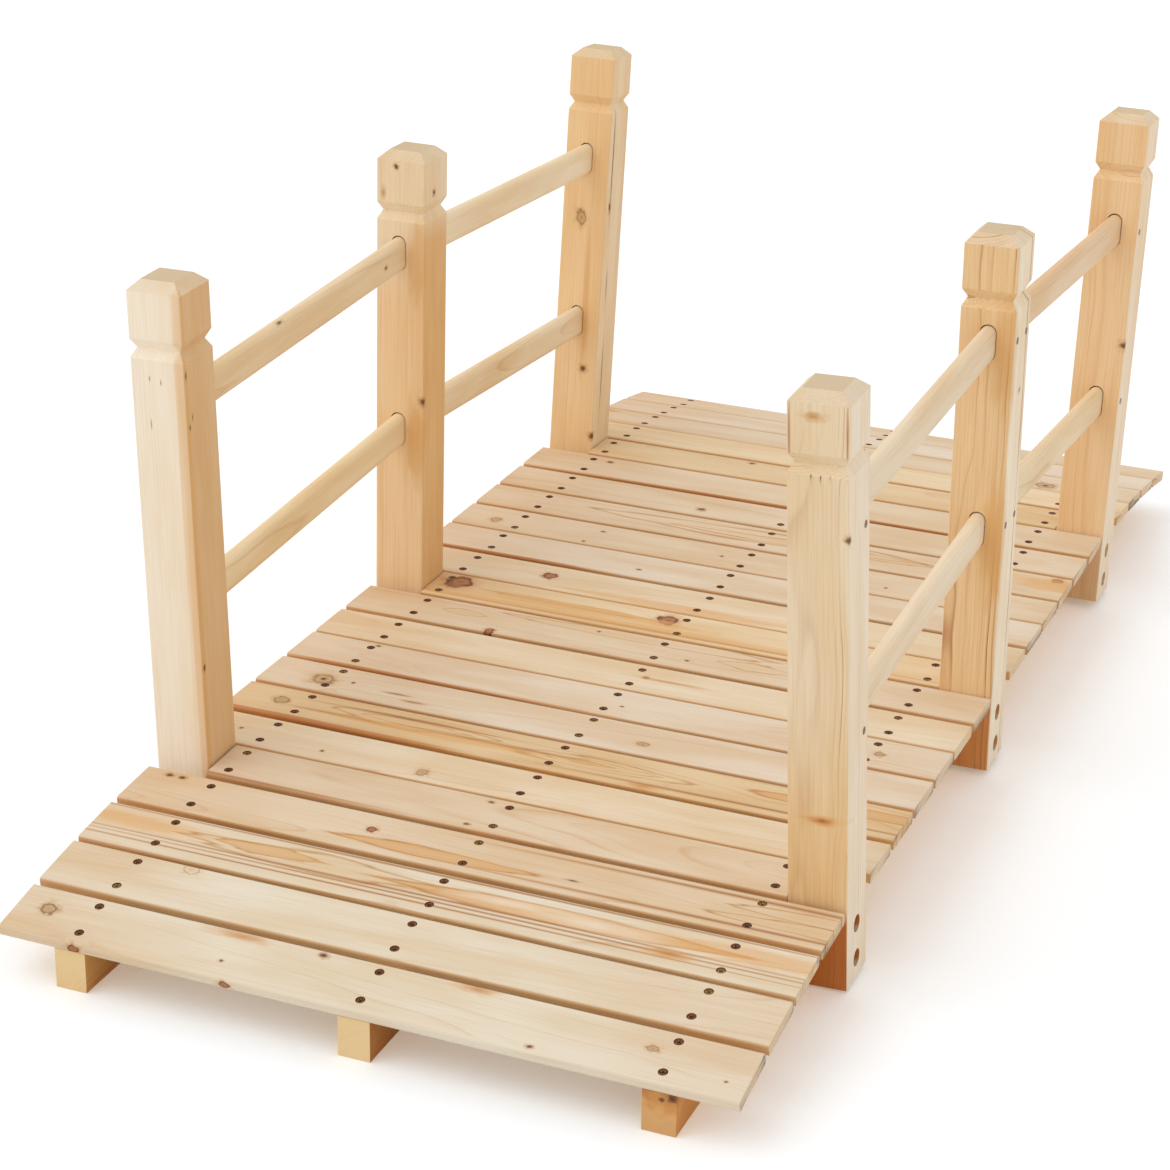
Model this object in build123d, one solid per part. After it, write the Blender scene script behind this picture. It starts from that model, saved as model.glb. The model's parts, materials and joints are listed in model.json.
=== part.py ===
from build123d import *

import os
from math import cos, degrees, radians, sin, tan

# Wooden garden bridge, all sizes in millimetres.
# +X runs along the bridge from the front end to the rear, +Y to its left, +Z up.
# The origin is on the ground, under the middle of the deck.

# Deck
plank_count = 23
plank_length = 661.0
plank_width = 59.5
plank_thickness = 11.0
plank_edge_radius = 3.0
flat_half_length = 390.0
end_curve_radii = {"front": 1650.0, "rear": 1800.0}

# The planks were laid by eye. Behind most of them is the first gap, behind the ones that are
# listed here by number it is wider or tighter by the spread.
plank_gap = 5.0
gap_spread = 2.0
wider_behind = (1, 3, 4, 6, 10, 13, 17, 19)
tighter_behind = (5, 9, 12, 14, 20)

# Stringers
stringer_height = 74.0
stringer_width = 29.0
plank_overhang = 3.5

# Posts
post_size = 52.5
post_height = 535.5
post_proud = 0.5
post_edge_radius = 1.5
post_to_plank = 0.3
post_to_short_plank = 1.5
cap_rise = 9.0
cap_run = 9.7
groove_top_below_cap = 42.5
groove_opening = 18.0
groove_depth = 5.0
bolt_hole_diameter = 16.0
bolt_hole_depth = 10.0
bolt_heights = (18.5, 52.0)

# Rails
rail_height = 34.0
rail_thickness = 14.6
rail_outwards = 1.5
mortise_depth = 15.0
mortise_clearance = 0.8
rail_to_seat = 0.2
rail_levels = {
    "upper": {"end": 413.8, "middle": 435.5},
    "lower": {"end": 225.2, "middle": 251.2},
}

# Each row of posts stands in the place of one plank's ends, with its feet just off the ground.
post_rows = {
    "front": {"plank": 5, "foot": 3.0},
    "middle": {"plank": 12, "foot": 6.5},
    "rear": {"plank": 19, "foot": 8.0},
}

# The planks beside a post leave it some play, and every post was bolted on where it happened to sit
# and at its own slant. The share of the play taken up and the slant along the bridge are + to the
# rear, the slant across it is + outwards.
post_stands = {
    "front_left": {"share_of_play": 1.0, "along_degrees": -1.1, "across_degrees": 0.9},
    "front_right": {"share_of_play": -0.4, "along_degrees": -2.3, "across_degrees": -2.0},
    "middle_left": {"share_of_play": 0.4, "along_degrees": 0.9, "across_degrees": -0.3},
    "middle_right": {"share_of_play": -1.0, "along_degrees": -0.8, "across_degrees": -0.5},
    "rear_left": {"share_of_play": 1.0, "along_degrees": 4.4, "across_degrees": -0.7},
    "rear_right": {"share_of_play": -1.0, "along_degrees": 3.3, "across_degrees": 0.4},
}
sides = {"left": 1, "right": -1}

# Sizes that follow from these
deck_height = stringer_height + plank_thickness
post_outer_face = plank_length / 2 + post_proud
post_inner_face = post_outer_face - post_size
stringer_offset = post_inner_face - stringer_width / 2
short_plank_length = 2 * (post_inner_face - post_to_short_plank)


def gap_behind(number):
    if number in wider_behind:
        return plank_gap + gap_spread
    if number in tighter_behind:
        return plank_gap - gap_spread
    return plank_gap


def deck_travel(number):
    """Way along the deck from its middle to the middle of a plank, + to the rear."""
    gaps = [gap_behind(before) for before in range(1, plank_count)]
    deck_length = plank_count * plank_width + sum(gaps)
    return (number - 0.5) * plank_width + sum(gaps[:number - 1]) - deck_length / 2


def plank_place(number):
    """Place on the deck's top at the middle of a plank: x, z and the slant in degrees, + down to the rear."""
    travel = deck_travel(number)
    end, radius = (1, end_curve_radii["rear"]) if travel > 0 else (-1, end_curve_radii["front"])
    turn = max(abs(travel) - flat_half_length, 0) / radius
    x = end * (min(abs(travel), flat_half_length) + radius * sin(turn))
    z = deck_height - radius * (1 - cos(turn))
    return x, z, end * degrees(turn)


def plank_corner(number, end, depth):
    """Corner of a plank's section: end is -1 at its front edge and 1 at its rear, depth is below its top."""
    x, z, slant = plank_place(number)
    run = end * plank_width / 2
    across = cos(radians(slant))
    down = sin(radians(slant))
    return x + run * across - depth * down, z - run * down - depth * across


def make_plank(number):
    short = number in [row["plank"] for row in post_rows.values()]
    length = short_plank_length if short else plank_length
    plank = Box(plank_width, length, plank_thickness, align=(Align.CENTER, Align.CENTER, Align.MAX))
    plank = fillet(plank.edges().filter_by(Axis.Y), plank_edge_radius)
    x, z, slant = plank_place(number)
    return Location((x, 0, z), (0, slant, 0)) * plank


def seat_height(number, x):
    """Height at x of the line that carries a plank's underside."""
    _, _, slant = plank_place(number)
    corner_x, corner_z = plank_corner(number, 1, plank_thickness)
    return corner_z - (x - corner_x) * tan(radians(slant))


def make_stringer(y):
    """A straight bearer on the ground. Its top has a flat seat under each plank."""
    front_end = plank_corner(1, -1, 0)[0] + plank_overhang
    rear_end = plank_corner(plank_count, 1, 0)[0] - plank_overhang
    outline = [(front_end, 0), (front_end, seat_height(1, front_end))]
    for number in range(1, plank_count):
        slope = tan(radians(plank_place(number)[2]))
        next_slope = tan(radians(plank_place(number + 1)[2]))
        if next_slope - slope > 1e-6:
            x = (seat_height(number, 0) - seat_height(number + 1, 0)) / (slope - next_slope)
            outline.append((x, seat_height(number, x)))
    outline += [(rear_end, seat_height(plank_count, rear_end)), (rear_end, 0)]
    side = make_face(Plane.XZ * Polyline(*outline, close=True))
    return Pos(0, y, 0) * extrude(side, amount=stringer_width / 2, both=True)


def post_x(row, stand):
    """Place along the bridge of a post's foot, from the play that the planks beside it leave."""
    number = row["plank"]
    lean = radians(stand["along_degrees"])
    before = max(plank_corner(number - 1, 1, depth)[0] for depth in (0, plank_thickness))
    behind = min(plank_corner(number + 1, -1, depth)[0] for depth in (0, plank_thickness))
    width = post_size / cos(lean) + plank_thickness * abs(tan(lean)) + 2 * post_to_plank
    height = plank_place(number)[1] - plank_thickness / 2 - row["foot"]
    play = behind - before - width
    return (before + behind + stand["share_of_play"] * play) / 2 - height * tan(lean)


def post_distance(row, stand):
    """How far out a post's foot stands. Its inner face leans on the stringer, at its top or its bottom."""
    lean = radians(stand["across_degrees"])
    contact = 0 if lean > 0 else stringer_height
    return post_inner_face + post_size / 2 / cos(lean) + (row["foot"] - contact) * tan(lean)


def post_location(row_name, side_name):
    row = post_rows[row_name]
    stand = post_stands[f"{row_name}_{side_name}"]
    side = sides[side_name]
    foot = (post_x(row, stand), side * post_distance(row, stand), row["foot"])
    return Location(foot, (-side * stand["across_degrees"], stand["along_degrees"], 0))


def post_cuts():
    """What is sawn off one face of a post: the slope of its cap and the V groove below."""
    face = post_size / 2
    cap_base = post_height - cap_rise
    groove_top = cap_base - groove_top_below_cap
    slope = [(face - cap_run, post_height), (face, cap_base), (face, post_height)]
    groove = [
        (face, groove_top),
        (face - groove_depth, groove_top - groove_opening / 2),
        (face, groove_top - groove_opening),
    ]
    outlines = [make_face(Plane.XZ * Polyline(*points, close=True)) for points in (slope, groove)]
    return [extrude(outline, amount=post_size, both=True) for outline in outlines]


def make_blank_post():
    """A square post with its cap and groove, standing upright on the origin."""
    post = Box(post_size, post_size, post_height, align=(Align.CENTER, Align.CENTER, Align.MIN))
    post = fillet(post.edges().filter_by(Axis.Z), post_edge_radius)
    for turn in range(0, 360, 90):
        for cut in post_cuts():
            post -= Rot(0, 0, turn) * cut
    return post


def make_post(row_name, side_name, mortises):
    """A post in its place, with its bolt holes and the mortises of its rails."""
    side = sides[side_name]
    post = make_blank_post()
    for height in bolt_heights:
        mouth = Location((0, side * post_size / 2, height), (side * 90, 0, 0))
        post -= mouth * Cylinder(bolt_hole_diameter / 2, 2 * bolt_hole_depth)
    post = post_location(row_name, side_name) * post
    for mortise in mortises:
        post -= mortise
    return post


def rail_seat(row_name, side_name, level):
    """Point inside a post that a rail's mortise is drawn to, and the way the post faces."""
    height = rail_levels[level]["middle" if row_name == "middle" else "end"]
    place = post_location(row_name, side_name) * Pos(0, sides[side_name] * rail_outwards, height)
    return place.position, Plane(place).x_dir


def make_bar(first, last, side_name, level, growth, drop):
    """A bar with round edges between two posts, larger all round by the growth and lower by the drop."""
    start, start_facing = rail_seat(first, side_name, level)
    end, end_facing = rail_seat(last, side_name, level)
    run = (end - start).normalized()
    to_seat = post_size / 2 - mortise_depth + mortise_clearance - growth
    head = to_seat / run.dot(start_facing)
    length = (end - start).length - head - to_seat / run.dot(end_facing)
    middle = start + run * head - Vector(0, 0, drop)
    section_plane = Plane(origin=middle, x_dir=(-run.Y, run.X, 0), z_dir=run)
    section = SlotOverall(rail_height + 2 * growth, rail_thickness + 2 * growth, rotation=90)
    return extrude(section_plane * section, amount=length)


def make_parts():
    parts = {f"plank_{number:02d}": make_plank(number) for number in range(1, plank_count + 1)}
    for name, y in {"left": stringer_offset, "centre": 0, "right": -stringer_offset}.items():
        parts[f"stringer_{name}"] = make_stringer(y)
    bays = {"front": ("front", "middle"), "rear": ("middle", "rear")}
    rail_drop = mortise_clearance - rail_to_seat
    for side_name in sides:
        mortises = {row_name: [] for row_name in post_rows}
        for bay, (first, last) in bays.items():
            for level in rail_levels:
                rail = make_bar(first, last, side_name, level, 0, rail_drop)
                parts[f"rail_{bay}_{level}_{side_name}"] = rail
                mortise = make_bar(first, last, side_name, level, mortise_clearance, 0)
                mortises[first].append(mortise)
                mortises[last].append(mortise)
        for row_name in post_rows:
            post = make_post(row_name, side_name, mortises[row_name])
            parts[f"post_{row_name}_{side_name}"] = post
    return parts


os.makedirs("parts", exist_ok=True)
for part_name, part in make_parts().items():
    export_step(part, f"parts/{part_name}.step")
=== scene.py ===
import json
import random
from math import radians

import bpy
from mathutils import Matrix, Vector

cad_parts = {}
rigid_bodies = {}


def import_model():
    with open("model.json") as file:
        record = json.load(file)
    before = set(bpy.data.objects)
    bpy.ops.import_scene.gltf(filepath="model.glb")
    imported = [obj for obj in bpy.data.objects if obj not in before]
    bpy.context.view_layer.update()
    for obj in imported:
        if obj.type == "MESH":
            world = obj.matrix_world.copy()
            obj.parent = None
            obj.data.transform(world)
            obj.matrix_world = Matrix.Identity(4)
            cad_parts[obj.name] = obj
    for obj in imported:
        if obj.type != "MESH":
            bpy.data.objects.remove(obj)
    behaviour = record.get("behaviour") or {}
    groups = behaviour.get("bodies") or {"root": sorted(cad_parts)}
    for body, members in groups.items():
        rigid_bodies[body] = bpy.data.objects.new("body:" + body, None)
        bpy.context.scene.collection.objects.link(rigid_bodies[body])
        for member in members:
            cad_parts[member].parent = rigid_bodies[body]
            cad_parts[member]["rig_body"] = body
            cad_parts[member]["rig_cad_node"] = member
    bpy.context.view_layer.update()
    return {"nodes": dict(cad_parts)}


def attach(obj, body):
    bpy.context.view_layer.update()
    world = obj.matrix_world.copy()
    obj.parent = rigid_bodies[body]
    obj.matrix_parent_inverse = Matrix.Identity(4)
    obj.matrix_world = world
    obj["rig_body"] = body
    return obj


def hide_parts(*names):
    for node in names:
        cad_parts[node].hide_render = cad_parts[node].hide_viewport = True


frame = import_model()
nodes = frame["nodes"]
mm = 0.001
toTheRight = (0, -1, 0)
toTheFront = (-1, 0, 0)
sideSigns = {"left": 1, "right": -1}
seeds = {"boards": 0, "screws": 100, "brassyScrews": 5, "posts": 50, "rails": 80}
print("frame loaded:", len(nodes), "pieces")


# Camera: where the photo was taken from, in metres and degrees, with the lens and the sensor in millimetres
cameraLook = {
    "place": (-2.5905, -0.9472, 1.3048), "heading": 22.109, "tilt": -23.093, "roll": 1.07,
    "lens": 92.1, "sensor": 36, "reach": 50,
}


def placeCamera(look):
    bpy.ops.object.camera_add(location=look["place"])
    camera = bpy.context.object
    heading = Matrix.Rotation(radians(look["heading"] - 90), 3, "Z")
    tilt = Matrix.Rotation(radians(90 + look["tilt"]), 3, "X")
    roll = Matrix.Rotation(radians(look["roll"]), 3, "Z")
    camera.rotation_euler = (heading @ tilt @ roll).to_euler()
    camera.data.lens = look["lens"]
    camera.data.sensor_width = look["sensor"]
    camera.data.clip_end = look["reach"]
    bpy.context.scene.camera = camera


placeCamera(cameraLook)
bpy.context.scene.view_settings.view_transform = "Standard"


# Helpers that add nodes to a material or the world. A feed is a value or another node's output.
def colour(code):
    parts = [int(code[i:i + 2], 16) / 255 for i in (0, 2, 4)]  # as seen, then as light
    return [p / 12.92 if p <= 0.04045 else ((p + 0.055) / 1.055) ** 2.4 for p in parts] + [1]


def addNode(tree, kind, feeds=None, **settings):
    node = tree.nodes.new("ShaderNode" + kind)
    for name, value in settings.items():
        setattr(node, name, value)
    for socket, value in (feeds or {}).items():
        if isinstance(value, bpy.types.NodeSocket):
            tree.links.new(value, node.inputs[socket])
        else:
            node.inputs[socket].default_value = value
    return node


def maths(tree, operation, *values):
    return addNode(tree, "Math", dict(enumerate(values)), operation=operation).outputs[0]


def vectorMaths(tree, operation, first, second):
    node = addNode(tree, "VectorMath", {0: first, 1: second}, operation=operation)
    return node.outputs["Value" if operation in ("DOT_PRODUCT", "LENGTH") else "Vector"]


def spread(tree, value, low, high, newLow=0, newHigh=1):
    feeds = {"Value": value, "From Min": low, "From Max": high, "To Min": newLow, "To Max": newHigh}
    return addNode(tree, "MapRange", feeds, interpolation_type="SMOOTHSTEP").outputs["Result"]


def noise(tree, vector, scale, detail, seed, out="Fac"):
    shifted = vectorMaths(tree, "ADD", vectorMaths(tree, "MULTIPLY", vector, scale), (seed, 2 * seed, -seed))
    feeds = {"Vector": shifted, "Scale": 1, "Detail": detail, "Roughness": 0.55}
    return addNode(tree, "TexNoise", feeds).outputs[out]


def blendColour(tree, factor, first, second, how="MIX"):
    node = addNode(tree, "Mix", {0: factor, 6: first, 7: second}, data_type="RGBA", blend_type=how)
    return node.outputs[2]


def ramp(tree, value, stops):
    node = addNode(tree, "ValToRGB", {"Fac": value})
    elements = node.color_ramp.elements
    while len(elements) < len(stops):
        elements.new(0.5)
    for element, (position, code, *alpha) in zip(elements, stops):
        element.position = position
        element.color = colour(code)[:3] + [alpha[0] if alpha else 1]
    return node


# Wood. Sizes are in millimetres in the piece's own frame: u along the grain, v across it, w through it.
# Growth rings are circles round a pith line that lies off the piece and slants a little against it.
woodLook = {
    "early": "F0DDC3", "late": "CC9E6C", "blush": "F1DEC2", "endShade": "DCBE94",
    "contrast": 0.5, "fibre": 0.10, "blushShare": 0.6, "endShare": 0.5,
    "pith": (15, 55), "slope": (0.01, 0.03), "ringGap": 4.2, "warp": 5, "seed": 1,
    "marks": [], "tones": [],
}

# How quickly each pattern changes over a millimetre along u, v and w
patternScales = {
    "warp": (0.004, 0.012, 0.012), "patches": (0.006, 0.03, 0.03), "blush": (0.005, 0.025, 0.025),
    "fibres": (0.012, 0.9, 0.9), "fineFibres": (0.05, 4, 4),
}

# Growth rings: how uneven their spacing is, how strong they are, how many rings far a knot pushes them aside
# and how soon that fades, and one ring from early to late wood
ringLook = {
    "unevenness": 3.5, "unevenScale": 0.35, "weakest": 0.15, "strengthCurve": 1.6, "push": 1.6, "fade": 0.35,
}
ringProfile = [
    (0, "303030"), (0.12, "000000"), (0.5, "181818"), (0.8, "808080"), (0.93, "FFFFFF"), (1, "303030"),
]
reliefLook = {
    "rings": 0.35, "fibres": 0.8, "fineFibres": 0.35, "hollows": -0.5, "strength": 0.3, "height": 0.4,
}

# Marks are stops of colour, with how much each covers, over the distance from the middle. The edge is at 0.5.
# The pointed kinds taper to both ends, the others are round.
markKinds = {
    "redKnot": [(0, "8E4A1E", 0.9), (0.22, "AC682F", 0.85), (0.36, "8A441C", 0.9), (0.47, "52200A", 0.95),
                (0.58, "C4864C", 0.5), (1, "DDB07C", 0)],
    "pinKnot": [(0, "3E1C06", 0.95), (0.3, "6A380E", 0.85), (0.5, "A96E2C", 0.5), (1, "D9AE70", 0)],
    "greyKnot": [(0, "9A6632", 0.75), (0.28, "C09660", 0.6), (0.42, "8A5A2A", 0.8), (0.6, "C89C60", 0.4),
                 (1, "DDB984", 0)],
    "ringKnot": [(0, "A67C4A", 0.7), (0.33, "B88E58", 0.65), (0.48, "6E4824", 0.85), (0.62, "C49A60", 0.5),
                 (1, "DDBB85", 0)],
    "swirl": [(0, "CDAA7E", 0.6), (0.35, "DDC29A", 0.4), (0.5, "A8865A", 0.7), (0.62, "DCC096", 0.3),
              (1, "DCC096", 0)],
    "resin": [(0, "BE7A36", 0.8), (0.4, "CE9350", 0.6), (1, "DDB27C", 0)],
    "check": [(0, "3A2414", 0.9), (0.3, "5A3A22", 0.7), (0.55, "B58F62", 0.3), (1, "B58F62", 0)],
    "line": [(0, "8E5424", 0.85), (0.35, "B0763A", 0.6), (1, "CFA070", 0)],
    "flame": [(0, "D9AC76", 0.75), (0.36, "D8A76C", 0.8), (0.47, "B97F42", 0.9), (0.53, "D5AA74", 0.35),
              (0.66, "DDBB8C", 0)],
    "loop": [(0, "D9B27C", 0.4), (0.34, "E2C398", 0.15), (0.46, "B5803F", 0.8), (0.54, "E2C398", 0.1),
             (0.66, "E2C398", 0)],
    "pale": [(0, "F0E2CC", 0.7), (0.5, "EEDDC2", 0.4), (1, "EEDDC2", 0)],
    "warm": [(0, "DDA763", 0.62), (0.5, "DDA763", 0.55), (0.75, "E2B67C", 0.3), (1, "E8C697", 0)],
    "ember": [(0, "8E4A1C", 0.9), (0.2, "C77A36", 0.8), (0.5, "DFA25C", 0.5), (1, "E6BE88", 0)],
    "shade": [(0, "B4692E", 0.8), (0.4, "BC7538", 0.75), (0.55, "D29A5C", 0.35), (0.7, "E0B47C", 0)],
}
pointed = ("flame", "loop", "line")


def pieceSpace(tree, place, along, across):
    through = along.cross(across)
    turn = Matrix((along, across, through)).transposed().to_euler()
    coords = addNode(tree, "TexCoord")
    feeds = {"Vector": coords.outputs["Object"], "Location": place, "Rotation": turn, "Scale": (mm, mm, mm)}
    return addNode(tree, "Mapping", feeds, vector_type="TEXTURE").outputs["Vector"]


# A mark is its kind, its place u and v, half its length, half its width, and w if it doesn't go right through
def addMark(tree, space, mark):
    kind, u, v, halfLength, halfWidth, *w = mark
    scale = (1 / halfLength, 1 / halfWidth, 1 / halfWidth if w else 0)
    offset = vectorMaths(tree, "SUBTRACT", space, (u, v, w[0] if w else 0))
    scaled = vectorMaths(tree, "MULTIPLY", offset, scale)
    if kind in pointed:
        split = addNode(tree, "SeparateXYZ", {0: scaled}).outputs
        aside = maths(tree, "ADD", maths(tree, "ABSOLUTE", split[1]), maths(tree, "ABSOLUTE", split[2]))
        distance = maths(tree, "MULTIPLY_ADD", split[0], split[0], aside)
    else:
        distance = addNode(tree, "VectorMath", {0: scaled}, operation="LENGTH").outputs["Value"]
    wobble = noise(tree, space, (1 / halfLength, 1 / halfWidth, 1 / halfWidth), 2, u)
    distance = maths(tree, "MULTIPLY", distance, spread(tree, wobble, 0.25, 0.75, 0.75, 1.3))
    return distance, ramp(tree, maths(tree, "MULTIPLY", distance, 0.5), markKinds[kind])


def isKnot(mark):
    return mark[0].endswith("Knot")


# Rings: distance from the pith, warped, and pushed aside by knots
def addRings(tree, space, axes, look, spots):
    seed = look["seed"]
    wander = noise(tree, space, patternScales["warp"], 2, seed, "Color")
    wander = vectorMaths(tree, "SUBTRACT", wander, (0.5, 0.5, 0.5))
    wander = vectorMaths(tree, "MULTIPLY", wander, [3 * look["warp"]] * 3)
    split = addNode(tree, "SeparateXYZ", {0: vectorMaths(tree, "ADD", space, wander)})
    squares = []
    for axis in (0, 1):
        pith = maths(tree, "MULTIPLY_ADD", axes["u"], look["slope"][axis], look["pith"][axis])
        offset = maths(tree, "SUBTRACT", split.outputs[axis + 1], pith)
        squares.append(maths(tree, "MULTIPLY", offset, offset))
    reach = maths(tree, "SQRT", maths(tree, "ADD", *squares))
    for mark, (distance, _) in zip(look["marks"], spots):
        if isKnot(mark):
            near = maths(tree, "MULTIPLY", maths(tree, "MULTIPLY", distance, distance), -ringLook["fade"])
            push = ringLook["push"] * look["ringGap"]
            reach = maths(tree, "MULTIPLY_ADD", maths(tree, "EXPONENT", near), push, reach)
    turns = maths(tree, "DIVIDE", reach, look["ringGap"])
    feeds = {"W": turns, "Scale": ringLook["unevenScale"], "Detail": 1}
    uneven = addNode(tree, "TexNoise", feeds, noise_dimensions="1D").outputs["Fac"]
    turns = maths(tree, "MULTIPLY_ADD", uneven, ringLook["unevenness"], turns)
    number = maths(tree, "ADD", maths(tree, "FLOOR", turns), seed)
    strength = addNode(tree, "TexWhiteNoise", {"W": number}, noise_dimensions="1D").outputs["Value"]
    strength = maths(tree, "POWER", strength, ringLook["strengthCurve"])
    strength = maths(tree, "MULTIPLY_ADD", strength, 1 - ringLook["weakest"], ringLook["weakest"])
    profile = ramp(tree, maths(tree, "FRACT", turns), ringProfile).outputs["Color"]
    patches = spread(tree, noise(tree, space, patternScales["patches"], 1, seed + 7), 0.35, 0.65, 0.25, 1)
    return maths(tree, "MULTIPLY", maths(tree, "MULTIPLY", profile, strength), patches)


# A tone is a colour to multiply in and its limits: over u, v or w in millimetres, or over how much a face
# looks in a direction. Most tones are painted shade, on faces that look one way or on low parts; some on the
# posts are partly the wood's own colour.
def addTone(tree, axes, normal, paint, tone):
    code, *limits = tone
    share = 1
    for measure, low, high in limits:
        value = axes[measure] if measure in axes else vectorMaths(tree, "DOT_PRODUCT", normal, measure)
        share = maths(tree, "MULTIPLY", share, spread(tree, value, low, high))
    return blendColour(tree, share, paint, colour(code), "MULTIPLY")


# Colour: early and late wood, a blush in large patches, fibre streaks, sawn ends, then tones, mostly painted
# shade, and marks
def addPaint(tree, space, axes, along, look, grain, spots):
    rings, fibres, fineFibres = grain
    late = colour(look["late"])
    paint = blendColour(tree, maths(tree, "MULTIPLY", rings, look["contrast"]), colour(look["early"]), late)
    blushes = spread(tree, noise(tree, space, patternScales["blush"], 2, look["seed"] + 11), 0.35, 0.7)
    blushes = maths(tree, "MULTIPLY", blushes, look["blushShare"])
    paint = blendColour(tree, blushes, paint, colour(look["blush"]), "MULTIPLY")
    streaks = maths(tree, "MULTIPLY", spread(tree, fibres, 0.35, 0.75), 2 * look["fibre"])
    paint = blendColour(tree, streaks, paint, late)
    specks = maths(tree, "MULTIPLY", spread(tree, fineFibres, 0.6, 0.8), look["fibre"])
    paint = blendColour(tree, specks, paint, late, "MULTIPLY")
    normal = addNode(tree, "NewGeometry").outputs["Normal"]
    facing = maths(tree, "ABSOLUTE", vectorMaths(tree, "DOT_PRODUCT", normal, along))
    ends = spread(tree, facing, 0.6, 0.9, 0, look["endShare"])
    paint = blendColour(tree, ends, paint, colour(look["endShade"]))
    for tone in look["tones"]:
        paint = addTone(tree, axes, normal, paint, tone)
    for _, spot in spots:
        paint = blendColour(tree, spot.outputs["Alpha"], paint, spot.outputs["Color"])
    return paint


# Relief: rings and fibres stand out a little, knots and cracks are hollow
def addRelief(tree, look, grain, spots):
    rings, fibres, fineFibres = grain
    relief = maths(tree, "MULTIPLY", fibres, reliefLook["fibres"])
    relief = maths(tree, "MULTIPLY_ADD", rings, reliefLook["rings"], relief)
    relief = maths(tree, "MULTIPLY_ADD", fineFibres, reliefLook["fineFibres"], relief)
    for mark, (_, spot) in zip(look["marks"], spots):
        if isKnot(mark) or mark[0] == "check":
            relief = maths(tree, "MULTIPLY_ADD", spot.outputs["Alpha"], reliefLook["hollows"], relief)
    feeds = {"Strength": reliefLook["strength"], "Distance": reliefLook["height"] * mm, "Height": relief}
    return addNode(tree, "Bump", feeds).outputs["Normal"]


def startMaterial(name):
    material = bpy.data.materials.new(name)
    material.use_nodes = True
    material.node_tree.nodes.clear()
    return material, material.node_tree


def endMaterial(tree, surface):
    tree.links.new(surface, addNode(tree, "OutputMaterial").inputs["Surface"])


def makeWood(name, place, along, across, **changes):
    look = woodLook | changes
    material, tree = startMaterial(name)
    space = pieceSpace(tree, place, along, across)
    axes = dict(zip("uvw", addNode(tree, "SeparateXYZ", {0: space}).outputs))
    spots = [addMark(tree, space, mark) for mark in look["marks"]]
    rings = addRings(tree, space, axes, look, spots)
    fibres = noise(tree, space, patternScales["fibres"], 5, look["seed"] + 3)
    fineFibres = noise(tree, space, patternScales["fineFibres"], 3, look["seed"] + 5)
    grain = (rings, fibres, fineFibres)
    shader = addNode(tree, "BsdfPrincipled", {
        "Base Color": addPaint(tree, space, axes, along, look, grain, spots),
        "Roughness": spread(tree, fibres, 0.3, 0.7, 0.55, 0.72),
        "Normal": addRelief(tree, look, grain, spots),
        "Specular IOR Level": 0.25,
    })
    endMaterial(tree, shader.outputs["BSDF"])
    return material


def dress(piece, material):
    piece.data.materials.clear()
    piece.data.materials.append(material)


# Where a CAD piece lies: the middle and the normal of its flat side that faces a direction
def flatSide(node, direction):
    facing = [p for p in nodes[node].data.polygons if p.normal.dot(Vector(direction)) > 0.9]
    largest = max(facing, key=lambda p: p.area)
    parallel = [p for p in facing if p.normal.dot(largest.normal) > 0.99999]
    flat = [p for p in parallel if abs((p.center - largest.center).dot(largest.normal)) < 0.01 * mm]
    area = sum(p.area for p in flat)
    middle = sum((p.center * p.area for p in flat), Vector()) / area
    return middle, largest.normal.copy()


# Helpers for pieces. Edges that turn by less than the angle, in degrees, are smooth.
smoothAngle = 35


def selectOnly(*pieces):
    bpy.ops.object.select_all(action="DESELECT")
    for piece in pieces:
        piece.select_set(True)
    bpy.context.view_layer.objects.active = pieces[0]


def applyModifiers(piece):
    selectOnly(piece)
    for modifier in list(piece.modifiers):
        bpy.ops.object.modifier_apply(modifier=modifier.name)


def joinAs(name, pieces):
    selectOnly(*pieces)
    bpy.ops.object.join()
    bpy.context.object.name = name
    return bpy.context.object


def copyTo(model, matrix):
    copy = model.copy()
    copy.data = model.data.copy()
    bpy.context.collection.objects.link(copy)
    copy.data.transform(matrix)
    return copy


def cutAway(piece, cutter):
    modifier = piece.modifiers.new("cut", "BOOLEAN")
    modifier.operation = "DIFFERENCE"
    modifier.solver = "EXACT"
    modifier.material_mode = "TRANSFER"
    modifier.object = cutter
    applyModifiers(piece)
    bpy.data.objects.remove(cutter)


def applyPlace(piece):
    selectOnly(piece)
    bpy.ops.object.transform_apply(location=True, rotation=True, scale=True)


def finishPiece(piece, material=None):
    applyPlace(piece)
    bpy.ops.object.shade_smooth_by_angle(angle=radians(smoothAngle))
    if material:
        dress(piece, material)
    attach(piece, "root")


# Metals: a base colour with dirt in patches of about a millimetre
dirtScale = (900, 900, 900)


def makeMetal(name, base, dirt, roughness, metallic):
    material, tree = startMaterial(name)
    coords = addNode(tree, "TexCoord").outputs["Object"]
    grime = spread(tree, noise(tree, coords, dirtScale, 3, 4), 0.35, 0.65)
    shader = addNode(tree, "BsdfPrincipled", {
        "Base Color": blendColour(tree, grime, colour(base), colour(dirt)),
        "Roughness": roughness, "Metallic": metallic,
    })
    endMaterial(tree, shader.outputs["BSDF"])
    return material


screwMetal = makeMetal("screwMetal", "8C6238", "4A2A12", 0.4, 0.5)
brassyMetal = makeMetal("brassyScrewMetal", "B08A44", "6A4C20", 0.4, 0.45)
boltMetal = makeMetal("boltMetal", "7E482A", "4A2412", 0.5, 0.3)
print("camera and metals ready")

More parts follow.
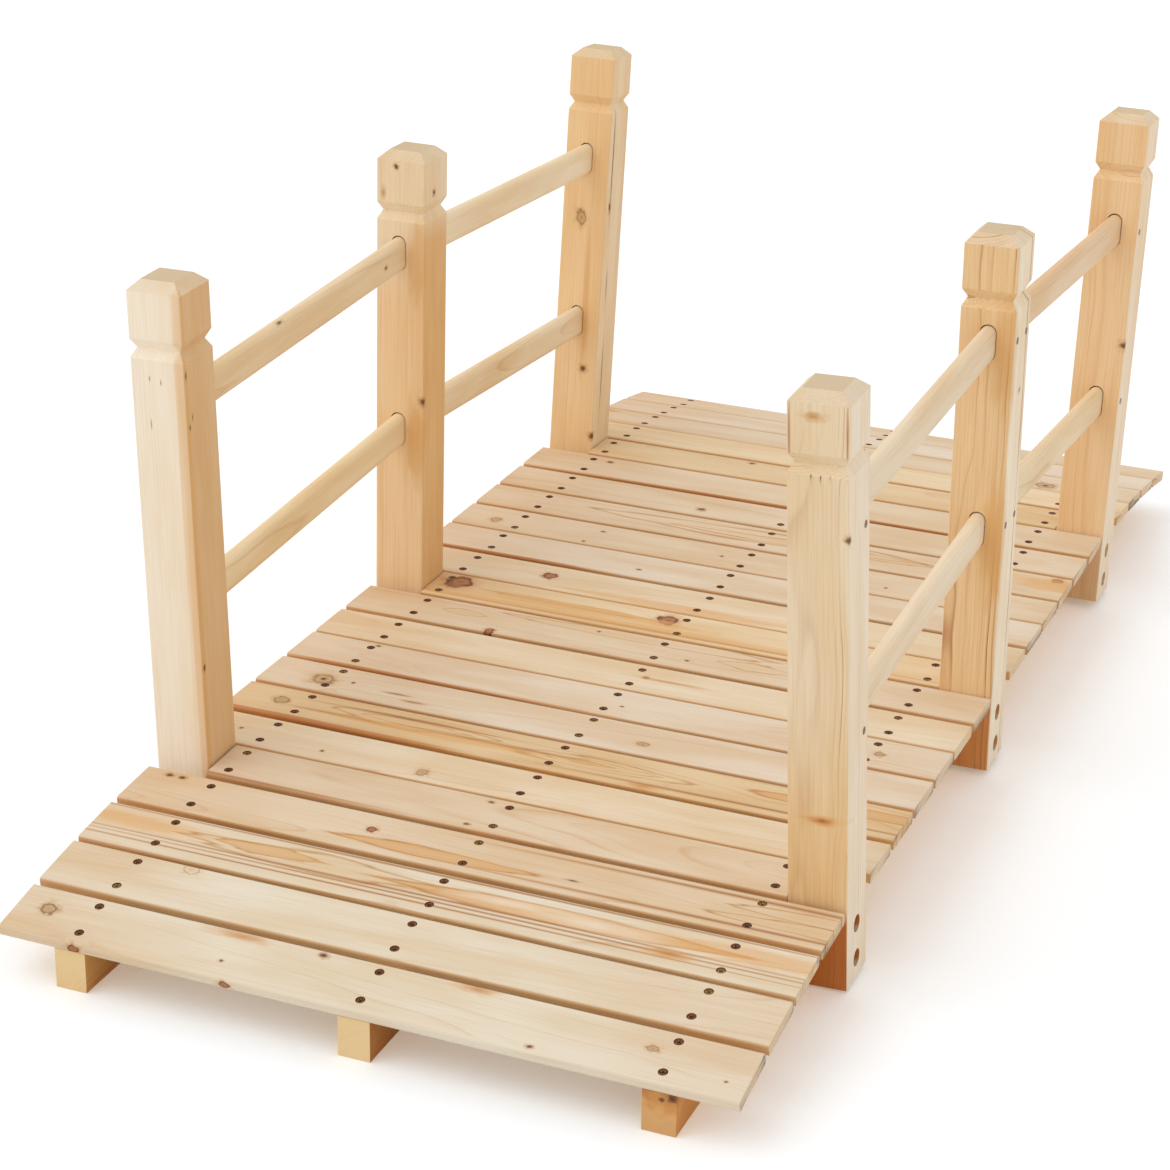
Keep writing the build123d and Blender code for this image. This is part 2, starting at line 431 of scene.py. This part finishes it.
# Deck boards: the CAD boards with a countersunk, stained hole for each screw. Over each bearer a board has
# two screws, one on either side of its screw line. Sizes are in millimetres.
boardLook = {
    "rows": (261.2, -0.7, -261.8), "aside": 17.4, "scatterAlong": 1.8, "scatterAcross": 0.9,
    "holeRadius": 4.2, "holeDepth": 2.2, "holeFoot": 3.4, "stain": "8A4822", "darkStain": "4E2410",
}
screwLook = {
    "radius": 3.3, "thickness": 1.6, "sunk": 0.9, "crossWidth": 1.1, "crossLength": 4.6, "crossDepth": 1.2,
    "brassyShare": 0.2,
}

# How far each board's screw line sits behind its middle
rowShifts = [
    1.4, 1.1, 0.7, 0, -0.5, 0.8, 1.8, 1.8, -0.5, -0.9, -0.6, -1.1,
    -1.4, -1.0, -2.2, -0.3, -0.7, -1.4, -2.5, 0, 0, 0, 0,
]

# Each board's knots and figure, with u + to the left and v + to the rear of the screw line
boardMarks = {
    1: [("ringKnot", 301, 2, 7, 6), ("resin", 126, 22, 22, 4), ("pinKnot", 51, 22, 4, 3),
        ("resin", -87, 24, 14, 4), ("greyKnot", -246, 4, 5, 3.5), ("pinKnot", -153, -25, 3, 2),
        ("pinKnot", 129, -11, 2, 1.5), ("pinKnot", -313, -13, 1.5, 1.2), ("redKnot", 259, -31, 6, 4, 6),
        ("redKnot", 117, -31, 5, 3, 6)],
    2: [("swirl", 212, 23, 8, 6)],
    3: [("warm", 290, 7, 48, 7), ("flame", 162, 7, 55, 8), ("loop", 120, 5, 140, 13),
        ("flame", -112, 4, 190, 10), ("pale", -145, 4, 42, 7), ("pale", -60, 8, 30, 4),
        ("line", 0, -7, 420, 1.4), ("line", -40, -12, 420, 1.2), ("line", 60, -18, 400, 1.2),
        ("line", 0, 25, 420, 1.5), ("resin", -215, -12, 16, 5), ("warm", -285, 8, 60, 8)],
    4: [("flame", 26, -13, 112, 8), ("redKnot", 94, 4, 4.5, 4), ("pinKnot", 305, 21, 4, 3),
        ("pinKnot", 292, 21, 4, 3), ("check", -101, -8, 6, 1.5), ("loop", -350, 7, 130, 9),
        ("line", -240, 21, 230, 2), ("line", -230, -21, 240, 2), ("loop", -330, -8, 120, 9)],
    5: [("pinKnot", 17, 21, 3, 2), ("pinKnot", 21, -23, 3, 2), ("line", 250, -27, 160, 2)],
    6: [("greyKnot", 98, -15, 6, 6), ("pinKnot", 200, -14, 2, 2), ("pinKnot", 290, -2, 2, 2)],
    7: [("ringKnot", 285, 0, 7, 7), ("loop", 150, 4, 95, 13), ("loop", 150, 4, 60, 7),
        ("loop", -40, -3, 100, 12), ("loop", -40, -3, 65, 7), ("flame", -30, -3, 28, 4),
        ("line", 150, 12, 95, 2.5), ("line", 60, -2, 90, 3), ("line", 215, -7, 60, 2.5),
        ("warm", 120, -8, 80, 5), ("shade", 250, -30, 160, 4), ("resin", -94, -26, 12, 4),
        ("flame", -300, 5, 130, 9), ("line", -200, -22, 200, 2)],
    8: [("greyKnot", 270, -6, 12, 11), ("pinKnot", 270, -6, 3, 3), ("line", 190, -8, 16, 2),
        ("line", 168, -18, 14, 2), ("pinKnot", 240, -2, 2, 2), ("greyKnot", -63, -11, 6, 4)],
    9: [("pinKnot", 256, 23, 3, 2), ("pinKnot", -15, -6, 2, 1.5), ("ringKnot", -269, -2, 4.5, 4),
        ("shade", 195, -30, 140, 3)],
    10: [("redKnot", -12, 2, 3, 2.5), ("resin", -38, 1, 28, 2.5)],
    11: [("redKnot", 172, -26, 5, 5), ("loop", 20, 20, 150, 12), ("loop", 215, 5, 25, 8),
         ("pinKnot", -34, -11, 2.5, 2), ("loop", -102, 0, 40, 10), ("pinKnot", 71, 18, 2, 2)],
    12: [("redKnot", 251, 11, 14, 13), ("redKnot", 18, 9, 11, 10.5), ("line", 0, -22, 260, 2.5),
         ("warm", 60, -18, 200, 6), ("flame", 120, 3, 105, 4.5), ("warm", 100, -3, 100, 6)],
    13: [("redKnot", 172, 3, 7.5, 7), ("warm", 20, -20, 100, 6)],
    14: [("pinKnot", 94, -9, 3, 2), ("shade", 250, -30, 120, 3)],
    15: [("greyKnot", 288, -5, 6, 6), ("pinKnot", 168, 12, 3, 2), ("pinKnot", 177, -22, 2, 2),
         ("pinKnot", 27, 1, 2, 2), ("pinKnot", -158, -8, 2, 2)],
    16: [("loop", 15, 3, 190, 18), ("loop", -60, 0, 160, 9), ("redKnot", -317, 19, 6, 5),
         ("warm", -320, 5, 36, 12)],
    17: [("pinKnot", 94, -12, 5, 4)],
    18: [("pinKnot", 241, 16, 4, 3), ("shade", 0, -31, 450, 4)],
    19: [("pinKnot", 93, 23, 4, 3)],
    21: [("greyKnot", -230, -16, 12, 10), ("pinKnot", -230, -16, 4, 4), ("resin", 320, 17, 12, 5)],
}

# The boards come from several trees, here each kind of timber with the numbers of its boards
boardTimbers = {
    "chalky": ("E8DECA", (1, 2, 3)),
    "pinkish": ("E7D7C1", (8, 9, 14, 22)),
    "creamy": ("EBDABE", (6, 10, 13)),
    "golden": ("ECD6B2", (12, 20)),
    "sandy": ("E4D0B4", (4, 5, 11, 15, 16, 17, 18, 21, 23)),
    "honey": ("E5CCA5", (7, 19)),
}
# Painted shade: the boards are darker and warmer towards their left ends, where the posts and rails stand,
# and a little darker towards their right ends
paintedShadeLeft = ("FAF1E7", ("u", 130, 320))
paintedShadeRight = ("FBF4EE", ("u", -120, -320))
# Painted shade: board faces that look to the front, seen down the gaps, are tinted warm and darker
paintedShadeFront = ("EFD0AC", (toTheFront, 0.6, 0.95))
boardChanges = {
    1: {"tones": [paintedShadeLeft, paintedShadeRight]},
    2: {"tones": [paintedShadeLeft, paintedShadeRight, paintedShadeFront]},
    3: {"contrast": 0.7},
    4: {"contrast": 0.6},
    7: {"late": "C48D4C", "contrast": 0.7},
}


def boardName(number):
    return f"plank_{number:02d}"


def screwPlaces(number):
    draw = random.Random(seeds["screws"] + number)
    middle, normal = flatSide(boardName(number), (0, 0, 1))
    turn = Vector((0, 0, 1)).rotation_difference(normal).to_matrix().to_4x4()
    places = []
    for row in boardLook["rows"]:
        for end in (-1, 1):
            x = end * boardLook["aside"] + draw.uniform(-1, 1) * boardLook["scatterAcross"]
            x += rowShifts[number - 1]
            y = row + draw.uniform(-1, 1) * boardLook["scatterAlong"]
            spin = Matrix.Rotation(draw.uniform(0, 3), 4, "Z")
            places.append(Matrix.Translation(middle) @ turn @ Matrix.Translation((x * mm, y * mm, 0)) @ spin)
    return places


def makeHoleCutter():
    look = boardLook
    foot = look["holeFoot"]
    bpy.ops.object.select_all(action="DESELECT")
    bpy.ops.mesh.primitive_cone_add(
        vertices=20, radius1=foot * mm, radius2=(2 * look["holeRadius"] - foot) * mm,
        depth=2 * look["holeDepth"] * mm, location=(0, 0, 0),
    )
    cutter = bpy.context.object
    dress(cutter, makeMetal("stainedWood", look["stain"], look["darkStain"], 0.7, 0))
    return cutter


def makeScrew():
    look = screwLook
    bpy.ops.object.select_all(action="DESELECT")
    top = -look["sunk"] * mm
    bpy.ops.mesh.primitive_cylinder_add(
        vertices=16, radius=look["radius"] * mm, depth=look["thickness"] * mm,
        location=(0, 0, top - look["thickness"] * mm / 2),
    )
    screw = bpy.context.object
    for turn in (0, 90):
        bpy.ops.mesh.primitive_cube_add(size=1, location=(0, 0, top), rotation=(0, 0, radians(turn)))
        slot = bpy.context.object
        slot.scale = (look["crossLength"] * mm, look["crossWidth"] * mm, 2 * look["crossDepth"] * mm)
        cutAway(screw, slot)
    applyPlace(screw)
    return screw


def copyBoard(number):
    original = nodes[boardName(number)]
    board = original.copy()
    board.data = original.data.copy()
    board.parent = None
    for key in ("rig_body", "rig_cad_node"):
        if key in board:
            del board[key]
    bpy.context.collection.objects.link(board)
    board.name = f"deckBoard{number:02d}"
    selectOnly(board)
    bpy.ops.object.mode_set(mode="EDIT")
    bpy.ops.mesh.select_all(action="SELECT")
    bpy.ops.mesh.remove_doubles(threshold=0.01 * mm)
    bpy.ops.object.mode_set(mode="OBJECT")
    return board


def boardWood(number):
    middle, normal = flatSide(boardName(number), (0, 0, 1))
    draw = random.Random(seeds["boards"] + number)
    shift = rowShifts[number - 1]
    early = next(code for code, numbers in boardTimbers.values() if number in numbers)
    # The default tones are painted shade: darker towards the left end and on faces that look to the front
    changes = {
        "seed": number * 3.7, "pith": (draw.uniform(-40, 40), draw.uniform(25, 80)),
        "slope": (draw.uniform(-0.02, 0.02), draw.uniform(-0.05, 0.05)), "ringGap": draw.uniform(3, 6),
        "contrast": draw.uniform(0.3, 0.55), "early": early, "tones": [paintedShadeLeft, paintedShadeFront],
        "marks": [(kind, u, v + shift, *others) for kind, u, v, *others in boardMarks.get(number, [])],
    } | boardChanges.get(number, {})
    along = Vector((0, 1, 0))
    return makeWood(f"deckWood{number:02d}", middle, along, along.cross(normal), **changes)


def makeBoard(number, holeCutter):
    name = boardName(number)
    board = copyBoard(number)
    places = screwPlaces(number)
    cutAway(board, joinAs("holes", [copyTo(holeCutter, place) for place in places]))
    weighted = board.modifiers.new("flats", "WEIGHTED_NORMAL")
    weighted.keep_sharp = True
    board.data.materials[0] = boardWood(number)
    finishPiece(board)
    applyModifiers(board)
    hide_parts(name)
    return places


def makeDeck():
    holeCutter = makeHoleCutter()
    screw = makeScrew()
    draw = random.Random(seeds["brassyScrews"])
    groups = {"deckScrews": [], "brassyDeckScrews": []}
    for number in range(1, len(rowShifts) + 1):
        for place in makeBoard(number, holeCutter):
            group = "brassyDeckScrews" if draw.random() < screwLook["brassyShare"] else "deckScrews"
            groups[group].append(copyTo(screw, place))
    for name, copies in groups.items():
        finishPiece(joinAs(name, copies), brassyMetal if "brassy" in name else screwMetal)
    for model in (holeCutter, screw):
        bpy.data.objects.remove(model)
    print("deck boards and screws made")


makeDeck()

# Posts, rails and bearers keep their CAD shape and get their own wood. Marks on a post's front or right face
# are given by how far they are to the right on that face and how high above the post's foot.
postFace = 26.25  # from a post's middle to its faces


def onFront(kind, aside, height, halfLength, halfWidth):
    return kind, height, -postFace, halfLength, halfWidth, -aside


def onRight(kind, aside, height, halfLength, halfWidth):
    return kind, height, aside, halfLength, halfWidth, -postFace


def onRightEdge(kind, height, size):
    inset = 1 - postFace
    return kind, height, inset, size, size, inset


postLook = {"blush": "F6E8D0", "endShade": "C8AF8A", "endShare": 0.8, "warp": 3}
# On the posts the tones are partly the wood's own colour and partly painted shade: faces that look to the
# right or to the front are tinted darker and warmer, some only below a height
postChanges = {
    "post_front_left": {
        "early": "F9EBD6", "late": "DDB98A", "contrast": 0.3,
        "tones": [("E8CFAC", (toTheRight, 0.5, 0.9))],
        "marks": [
            onFront("line", -8, 449, 3, 0.6), onFront("line", 3, 447, 3, 0.6),
            onFront("line", -9, 407, 5, 0.5), onFront("warm", 25, 250, 300, 5),
            onRight("check", -23, 455, 4, 1.5), onRight("check", -21, 407, 3, 1.5),
            onRight("check", -16, 415, 3, 1), onRight("pinKnot", -22, 178, 3.5, 2),
        ],
    },
    "post_middle_left": {
        "early": "F2DDBD", "late": "CC9350", "contrast": 0.6,
        "tones": [("F4DCB6", (toTheRight, 0.5, 0.9), ("u", 480, 440)),
                  ("FFF0DC", (toTheFront, 0.5, 0.9), ("u", 440, 380))],
        "marks": [
            onFront("pinKnot", -5, 521, 2.5, 2.5), onFront("resin", -19, 493, 5, 2.5),
            onRightEdge("pinKnot", 282, 4), onRight("pinKnot", -5, 494, 3, 3),
            onFront("warm", 19, 425, 32, 8), onFront("warm", 19, 240, 32, 8),
        ],
    },
    "post_rear_left": {
        "early": "F2DBB8", "late": "CE9A60", "contrast": 0.5,
        "tones": [("FFF0DA", (toTheFront, 0.5, 0.9))],
        "marks": [
            onFront("greyKnot", -3, 345, 8, 6), onFront("warm", 8, 250, 60, 3),
            onFront("pinKnot", 10, 169, 4, 4), onRightEdge("pinKnot", 90, 4),
            onRight("check", -13, 410, 55, 2), onRight("pinKnot", -15, 359, 6, 3),
            onRight("check", -10, 265, 18, 1.2), onRight("check", -8, 160, 42, 1.2),
        ],
    },
    "post_front_right": {
        "early": "F8EAD4", "late": "B87C3C", "contrast": 1.3, "ringGap": 2.4, "pith": (70, 15),
        # Painted shade: below the deck the front face is tinted deep orange-brown, fully below 62 mm
        "tones": [("F7F1E4", (toTheFront, 0.5, 0.9)), ("DCA06C", (toTheFront, 0.5, 0.9), ("u", 80, 62)),
                  ("FCECD2", (toTheFront, 0.5, 0.9), ("u", 300, 120))],
        "marks": [
            onFront("resin", -4, 516, 3, 7), onFront("check", -6, 468, 5, 0.7),
            onFront("check", 2, 466, 5, 0.6), onFront("check", 10, 470, 5, 0.7),
            onFront("line", -24, 500, 30, 0.9), onFront("line", 24, 500, 30, 0.9),
            onRightEdge("pinKnot", 415, 3), onFront("ember", 4, 160, 4, 14),
        ],
    },
    "post_middle_right": {
        "early": "FBEDD4", "late": "A8662A", "contrast": 1.8, "ringGap": 3.2, "pith": (60, 20),
        # Painted shade: below the deck the front face is tinted orange-brown, fully below 62 mm
        "tones": [("F6DFBE", (toTheFront, 0.5, 0.9)), ("F0C8A0", (toTheFront, 0.5, 0.9), ("u", 80, 62))],
        "marks": [
            onFront("warm", 19, 425, 40, 9), onFront("warm", 19, 240, 40, 9),
            onRight("pinKnot", 3, 383, 3, 2),
        ],
    },
    "post_rear_right": {
        "early": "F8E6CC", "late": "C08448", "contrast": 0.7, "pith": (60, -20),
        "tones": [("FBE8CC", (toTheFront, 0.5, 0.9))],
        "marks": [onRightEdge("pinKnot", 291, 4)],
    },
}
railLook = {"early": "F0DBB8", "late": "D0A068", "warp": 3}
railChanges = {
    "rail_front_upper_left": {"marks": [("check", 172, 16, 5, 2.2, 4), ("pinKnot", 380, 0, 2.5, 2, 7)]},
    "rail_front_lower_left": {"early": "F4DEB6"},
    "rail_front_upper_right": {"early": "EEDCC0"},
    "rail_front_lower_right": {"early": "F2E2C8"},
    "rail_rear_upper_left": {"early": "F6E6C8"},
    "rail_rear_upper_right": {"early": "EBD0AE"},
}
bearerLook = {"early": "ECCF9E", "late": "C4935A", "ringGap": 5, "slope": (0.02, 0.01), "endShade": "EBCB96"}
bearerEnd = -736  # u of the bearers' front ends
# Painted shade: the bearers' faces that look to the right, in shade under the deck, are tinted darker and
# orange-brown
bearerChanges = {
    "stringer_left": {"tones": [("F0C898", (toTheRight, 0.5, 0.9))]},
    "stringer_centre": {"tones": [("D8A470", (toTheRight, 0.5, 0.9))]},
    "stringer_right": {
        "endShade": "D29A5E", "endShare": 0.8, "tones": [("ECBE88", (toTheRight, 0.5, 0.9))],
        "marks": [
            ("shade", bearerEnd, 38, 14, 17, 8), ("shade", bearerEnd, 40, 14, 15, -8),
            ("ember", bearerEnd, 36, 14, 12, 9), ("check", bearerEnd, 31, 4, 3, 2),
            ("check", bearerEnd, 34, 4, 5, 11),
        ],
    },
}


def namesOf(kind):
    return sorted(name for name in nodes if name.startswith(kind))


def dressPosts():
    for number, name in enumerate(namesOf("post")):
        foot, down = flatSide(name, (0, 0, -1))
        draw = random.Random(seeds["posts"] + number)
        changes = postLook | {
            "seed": number * 5.3 + 40, "pith": (draw.uniform(-30, 30), draw.uniform(60, 90)),
            "slope": (draw.uniform(-0.01, 0.01), draw.uniform(-0.01, 0.01)), "ringGap": draw.uniform(3, 4.5),
        } | postChanges[name]
        along = -down
        across = Vector((0, 1, 0)).cross(along)
        dress(nodes[name], makeWood(name + "Wood", foot, along, across, **changes))


def dressRails():
    for number, name in enumerate(namesOf("rail")):
        end, back = flatSide(name, (-1, 0, 0))
        draw = random.Random(seeds["rails"] + number)
        changes = railLook | {
            "seed": number * 4.1 + 90, "pith": (draw.uniform(-10, 10), draw.uniform(30, 60)),
            "slope": (draw.uniform(-0.01, 0.01), draw.uniform(-0.03, 0.03)), "ringGap": draw.uniform(2.6, 4),
        } | railChanges.get(name, {})
        along = -back
        across = along.cross(Vector((0, 1, 0)))
        dress(nodes[name], makeWood(name + "Wood", end, along, across, **changes))


def dressBearers():
    for number, name in enumerate(namesOf("stringer")):
        foot, _ = flatSide(name, (0, 0, -1))
        changes = bearerLook | {
            "seed": number * 2.9 + 130, "pith": (-30 + 25 * number, 45),
        } | bearerChanges.get(name, {})
        dress(nodes[name], makeWood(name + "Wood", foot, Vector((1, 0, 0)), Vector((0, 0, 1)), **changes))


dressPosts()
dressRails()
dressBearers()
print("posts, rails and bearers dressed")

# Bolts in the posts' counterbores and a small screw at each rail end
boltLook = {
    "heights": (18.5, 52.0), "boreDepth": 10, "washerRadius": 7.3, "washerHeight": 1.2, "washerLift": 0.05,
    "headRadius": 6.4, "headHeight": 4.5, "headLift": 0.1, "headBevel": 0.6,
}
railScrewLook = {"radius": 3.4, "proud": 0.3, "aside": 15.5, "end": (227, 412.5), "middle": (254, 436.5)}


def makeBolt():
    look = boltLook
    washerMiddle = look["washerHeight"] / 2 + look["washerLift"] - look["boreDepth"]
    headMiddle = look["washerHeight"] + look["headHeight"] / 2 + look["headLift"] - look["boreDepth"]
    bpy.ops.object.select_all(action="DESELECT")
    bpy.ops.mesh.primitive_cylinder_add(
        vertices=24, radius=look["washerRadius"] * mm, depth=look["washerHeight"] * mm,
        location=(0, 0, washerMiddle * mm),
    )
    washer = bpy.context.object
    bpy.ops.object.select_all(action="DESELECT")
    bpy.ops.mesh.primitive_cylinder_add(
        vertices=6, radius=look["headRadius"] * mm, depth=look["headHeight"] * mm,
        location=(0, 0, headMiddle * mm),
    )
    head = bpy.context.object
    bevel = head.modifiers.new("edges", "BEVEL")
    bevel.width = look["headBevel"] * mm
    bevel.segments = 2
    applyModifiers(head)
    bolt = joinAs("bolt", [head, washer])
    applyPlace(bolt)
    return bolt


def makeRailScrew():
    look = railScrewLook
    bpy.ops.object.select_all(action="DESELECT")
    bpy.ops.mesh.primitive_cylinder_add(
        vertices=16, radius=look["radius"] * mm, depth=look["proud"] * mm,
        location=(0, 0, look["proud"] * mm / 2),
    )
    screw = bpy.context.object
    applyPlace(screw)
    return screw


def makeFasteners():
    bolt = makeBolt()
    railScrew = makeRailScrew()
    bolts = []
    railScrews = []
    for name in namesOf("post"):
        _, row, sideName = name.split("_")
        side = sideSigns[sideName]
        foot, down = flatSide(name, (0, 0, -1))
        face, normal = flatSide(name, (0, side, 0))
        turn = normal.to_track_quat("Z", "Y").to_matrix().to_4x4()
        alongBridge = Vector((0, 1, 0)).cross(-down)

        def spot(height, aside):
            place = foot + (alongBridge * aside - down * height) * mm
            return Matrix.Translation(place + normal * (face - place).dot(normal)) @ turn

        bolts += [copyTo(bolt, spot(height, 0)) for height in boltLook["heights"]]
        ends = {"front": (1,), "middle": (-1, 1), "rear": (-1,)}[row]
        for height in railScrewLook["middle" if row == "middle" else "end"]:
            railScrews += [copyTo(railScrew, spot(height, end * railScrewLook["aside"])) for end in ends]
    for model in (bolt, railScrew):
        bpy.data.objects.remove(model)
    finishPiece(joinAs("postBolts", bolts), boltMetal)
    finishPiece(joinAs("railScrews", railScrews), screwMetal)
    print("bolts and rail screws made")


makeFasteners()

# Light, floor and background
lightLook = {"ambient": 0.82, "sunStrength": 0.75, "sunSoftness": 50, "sunFrom": (-0.35, 0.5, 0.9)}

# The floor is white to the light that bounces off it. Seen directly it is brighter, so that where it is open
# it is pure white and the shadows on it stay light and warm. Size and drop below the bearers are in metres.
floorLook = {
    "bounce": "F4F3F1", "seen": (0.75, 0.86, 0.95, 1), "lift": (0.32, 0.23, 0.16, 1),
    "size": 40, "drop": 0.0002,
}


def isSeen(tree):
    paths = addNode(tree, "LightPath").outputs
    seen = maths(tree, "MAXIMUM", paths["Is Camera Ray"], paths["Is Glossy Ray"])
    return maths(tree, "MAXIMUM", seen, paths["Is Transmission Ray"])


def makeLight(look):
    world = bpy.data.worlds.new("studio")
    bpy.context.scene.world = world
    world.use_nodes = True
    tree = world.node_tree
    tree.nodes.clear()
    strength = maths(tree, "MULTIPLY_ADD", isSeen(tree), 1 - look["ambient"], look["ambient"])
    background = addNode(tree, "Background", {"Color": (1, 1, 1, 1), "Strength": strength})
    tree.links.new(background.outputs[0], addNode(tree, "OutputWorld").inputs["Surface"])
    bpy.ops.object.light_add(type="SUN", location=(0, 0, 3))
    sun = bpy.context.object
    sun.rotation_euler = Vector(look["sunFrom"]).to_track_quat("Z", "Y").to_euler()
    sun.data.energy = look["sunStrength"]
    sun.data.angle = radians(look["sunSoftness"])


def makeFloor(look):
    bpy.ops.object.select_all(action="DESELECT")
    bpy.ops.mesh.primitive_plane_add(size=look["size"], location=(0, 0, -look["drop"]))
    floor = bpy.context.object
    floor.name = "floor"
    material, tree = startMaterial("floorPaint")
    bounce = addNode(tree, "BsdfDiffuse", {"Color": colour(look["bounce"])})
    seen = addNode(tree, "BsdfDiffuse", {"Color": look["seen"]})
    lift = addNode(tree, "Emission", {"Color": look["lift"], "Strength": 1})
    lifted = addNode(tree, "AddShader", {0: seen.outputs[0], 1: lift.outputs[0]})
    surface = addNode(tree, "MixShader", {0: isSeen(tree), 1: bounce.outputs[0], 2: lifted.outputs[0]})
    endMaterial(tree, surface.outputs[0])
    dress(floor, material)


makeLight(lightLook)
makeFloor(floorLook)
print("light and floor ready")
